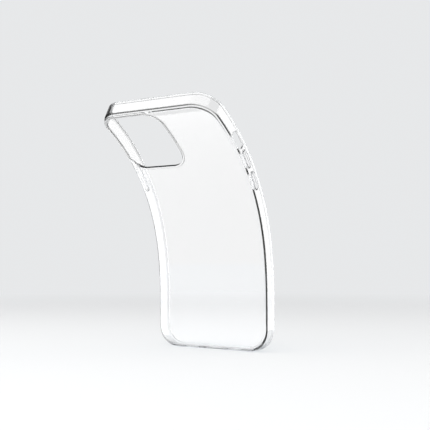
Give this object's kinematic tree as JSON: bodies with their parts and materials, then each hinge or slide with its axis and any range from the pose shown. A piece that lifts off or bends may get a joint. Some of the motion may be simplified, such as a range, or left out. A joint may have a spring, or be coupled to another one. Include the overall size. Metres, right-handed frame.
{
  "type": "phone case",
  "caption": "Slim clear soft phone case, half peeled off, with camera window, covered side keys, mute switch window and end openings.",
  "frame": {"origin": "on the plane of the phone's back, on the centre line, level with the outside of the bottom wall", "axes": "+X to the right when looking at the outside of the back panel, +Y from the back panel towards the open front, +Z from the bottom end upwards along the straight lower part"},
  "size_m": [0.0812, 0.0667, 0.1443],
  "materials": {
    "clear_panel": "clear glossy soft plastic, flat back panel",
    "clear_wall": "clear glossy soft plastic, side walls, corners and lip",
    "clear_rim": "clear glossy soft plastic, raised rim round the camera window",
    "clear_cover": "clear soft plastic, pads over the side keys"
  },
  "bodies": {
    "lower_shell": {"back_panel_lower": "clear_panel", "bottom_wall": "clear_wall", "bottom_left_corner": "clear_wall", "bottom_right_corner": "clear_wall", "left_wall_lower": "clear_wall", "right_wall_lower": "clear_wall"},
    "band_1": {"back_panel_1": "clear_panel", "left_wall_1": "clear_wall", "right_wall_1": "clear_wall"},
    "band_2": {"back_panel_2": "clear_panel", "left_wall_2": "clear_wall", "right_wall_2": "clear_wall"},
    "band_3": {"back_panel_3": "clear_panel", "left_wall_3": "clear_wall", "right_wall_3": "clear_wall"},
    "band_4": {"back_panel_4": "clear_panel", "left_wall_4": "clear_wall", "right_wall_4": "clear_wall"},
    "band_5": {"back_panel_5": "clear_panel", "left_wall_5": "clear_wall", "right_wall_5": "clear_wall", "camera_rim_lower": "clear_rim"},
    "band_6": {"back_panel_6": "clear_panel", "left_wall_6": "clear_wall", "right_wall_6": "clear_wall", "camera_rim_middle": "clear_rim"},
    "band_7": {"back_panel_7": "clear_panel", "left_wall_7": "clear_wall", "right_wall_7": "clear_wall", "camera_rim_upper": "clear_rim"},
    "top_shell": {"back_panel_top": "clear_panel", "top_wall": "clear_wall", "top_left_corner": "clear_wall", "top_right_corner": "clear_wall", "camera_rim_top": "clear_rim"},
    "power_button": {"power_button_cover": "clear_cover"},
    "volume_up_button": {"volume_up_cover": "clear_cover"},
    "volume_down_button": {"volume_down_cover": "clear_cover"}
  },
  "joints": [
    {"name": "flex_1", "type": "hinge", "parent": "lower_shell", "child": "band_1", "pos_m": [0, 0.0037, 0.038], "axis": [1, 0, 0], "range_deg": [-4.84, 0.97]},
    {"name": "flex_2", "type": "hinge", "parent": "band_1", "child": "band_2", "pos_m": [0, 0.00218, 0.05594], "axis": [1, 0, 0], "range_deg": [-5.83, 1.17]},
    {"name": "flex_3", "type": "hinge", "parent": "band_2", "child": "band_3", "pos_m": [0, -0.00022, 0.06871], "axis": [1, 0, 0], "range_deg": [-6.5, 1.3]},
    {"name": "flex_4", "type": "hinge", "parent": "band_3", "child": "band_4", "pos_m": [0, -0.00406, 0.08113], "axis": [1, 0, 0], "range_deg": [-6.81, 1.36]},
    {"name": "flex_5", "type": "hinge", "parent": "band_4", "child": "band_5", "pos_m": [0, -0.00942, 0.09319], "axis": [1, 0, 0], "range_deg": [-10.53, 2.11]},
    {"name": "flex_6", "type": "hinge", "parent": "band_5", "child": "band_6", "pos_m": [0, -0.02489, 0.11569], "axis": [1, 0, 0], "range_deg": [-10.61, 2.12]},
    {"name": "flex_7", "type": "hinge", "parent": "band_6", "child": "band_7", "pos_m": [0, -0.03445, 0.12522], "axis": [1, 0, 0], "range_deg": [-7.02, 1.41]},
    {"name": "flex_8", "type": "hinge", "parent": "band_7", "child": "top_shell", "pos_m": [0, -0.04511, 0.13351], "axis": [1, 0, 0], "range_deg": [-7.02, 1.41]},
    {"name": "power_press", "type": "slide", "parent": "band_5", "child": "power_button", "axis": [1, 0, 0], "range_m": [0, 0.0004], "stiffness_N_per_m": 2000},
    {"name": "volume_up_press", "type": "slide", "parent": "band_5", "child": "volume_up_button", "axis": [-1, 0, 0], "range_m": [0, 0.0004], "stiffness_N_per_m": 2000},
    {"name": "volume_down_press", "type": "slide", "parent": "band_5", "child": "volume_down_button", "axis": [-1, 0, 0], "range_m": [0, 0.0004], "stiffness_N_per_m": 2000}
  ],
  "couplings": [
    {"joint": "flex_1", "follows": "flex_5", "ratio": 0.45971},
    {"joint": "flex_2", "follows": "flex_5", "ratio": 0.5532},
    {"joint": "flex_3", "follows": "flex_5", "ratio": 0.61672},
    {"joint": "flex_4", "follows": "flex_5", "ratio": 0.64691},
    {"joint": "flex_6", "follows": "flex_5", "ratio": 1.0074},
    {"joint": "flex_7", "follows": "flex_5", "ratio": 0.66667},
    {"joint": "flex_8", "follows": "flex_5", "ratio": 0.66667}
  ]
}
